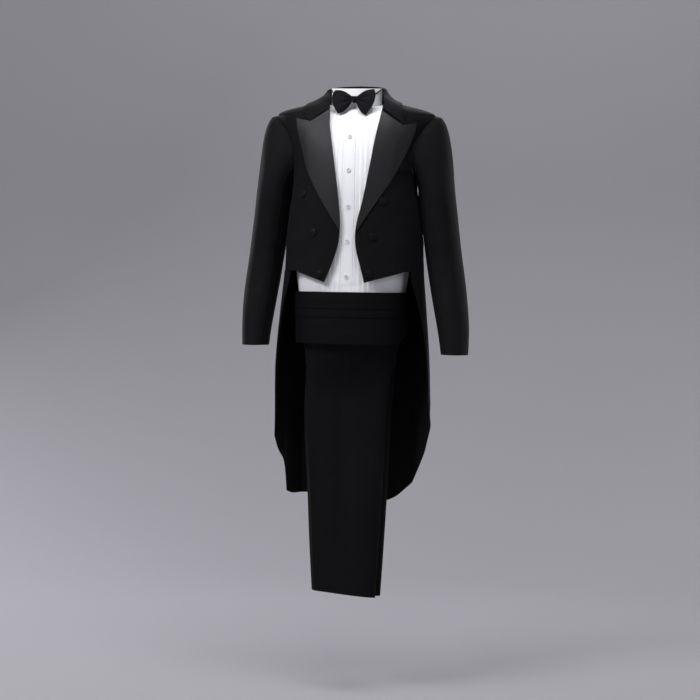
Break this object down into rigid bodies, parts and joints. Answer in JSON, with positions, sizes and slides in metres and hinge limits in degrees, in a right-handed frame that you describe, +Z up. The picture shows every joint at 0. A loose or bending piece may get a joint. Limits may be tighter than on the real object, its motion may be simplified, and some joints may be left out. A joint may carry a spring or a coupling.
{
  "type": "evening dress suit with tailcoat",
  "caption": "Evening dress suit in its worn pose: open tailcoat with satin peak lapels, pleated white shirt, bow tie, waist sash and pressed trousers.",
  "frame": {"origin": "the base of the wearer's neck, in the middle of the neck opening, where the wearer holds the suit up", "axes": "+Z up along the wearer; the front faces -Y; +X is the wearer's left"},
  "size_m": [0.5918, 0.2758, 1.3313],
  "materials": {
    "black_wool": "matt fine worsted wool",
    "black_satin": "black satin with a soft sheen",
    "white_cotton": "pressed white cotton",
    "covered_button": "button covered in black satin",
    "shirt_button": "glossy pale button"
  },
  "bodies": {
    "root": {"bow_band": "black_satin", "bow_knot": "black_satin", "bow_wing_L": "black_satin", "bow_wing_R": "black_satin", "coat_back_L": "black_wool", "coat_back_R": "black_wool", "coat_breast_welt": "black_wool", "coat_button_L1": "covered_button", "coat_button_L2": "covered_button", "coat_button_L3": "covered_button", "coat_button_R1": "covered_button", "coat_button_R2": "covered_button", "coat_button_R3": "covered_button", "coat_button_back_L": "covered_button", "coat_button_back_R": "covered_button", "coat_collar": "black_wool", "coat_collar_stand": "black_wool", "coat_front_L": "black_wool", "coat_front_R": "black_wool", "coat_lapel_L": "black_satin", "coat_lapel_R": "black_satin", "coat_side_L": "black_wool", "coat_side_R": "black_wool", "coat_skirt_L": "black_wool", "coat_skirt_R": "black_wool", "coat_sleeve_top_L": "black_wool", "coat_sleeve_top_R": "black_wool", "coat_sleeve_under_L": "black_wool", "coat_sleeve_under_R": "black_wool", "sash_front": "black_satin", "sash_strap": "black_satin", "shirt_back": "white_cotton", "shirt_collar": "white_cotton", "shirt_front_L": "white_cotton", "shirt_front_R": "white_cotton", "shirt_placket": "white_cotton", "shirt_stud_1": "shirt_button", "shirt_stud_2": "shirt_button", "shirt_stud_3": "shirt_button", "shirt_stud_4": "shirt_button", "shirt_stud_5": "shirt_button", "trouser_back_L": "black_wool", "trouser_back_R": "black_wool", "trouser_front_L": "black_wool", "trouser_front_R": "black_wool", "trouser_waistband": "black_wool"}
  },
  "joints": []
}
